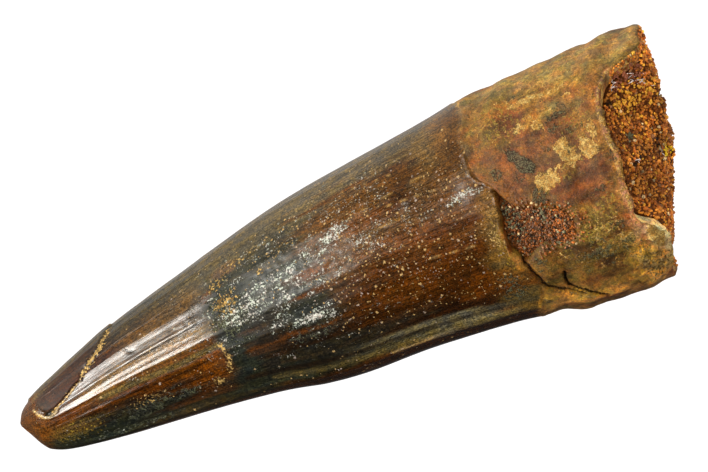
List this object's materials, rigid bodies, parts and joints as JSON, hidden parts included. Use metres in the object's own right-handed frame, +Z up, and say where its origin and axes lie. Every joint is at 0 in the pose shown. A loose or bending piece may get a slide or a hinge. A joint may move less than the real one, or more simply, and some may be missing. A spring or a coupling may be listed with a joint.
{
  "type": "spinosaurus tooth",
  "caption": "Worn fossil spinosaur tooth lying on its side: a slender brown conical crown with keels and fluting, a mottled root stump and a broken base filled with rusty sandstone.",
  "frame": {"origin": "centre of the footprint, at the height of the surface that the tooth lies on", "axes": "+X along the tooth from its tip to its broken base, +Y towards its convex front edge, +Z up"},
  "size_m": [0.055, 0.0186, 0.0158],
  "materials": {
    "tooth": "polished to satin",
    "sandstone": "rough"
  },
  "bodies": {
    "root": {"tooth": "tooth", "pulp_sandstone": "sandstone", "pit_sandstone": "sandstone"}
  },
  "joints": []
}
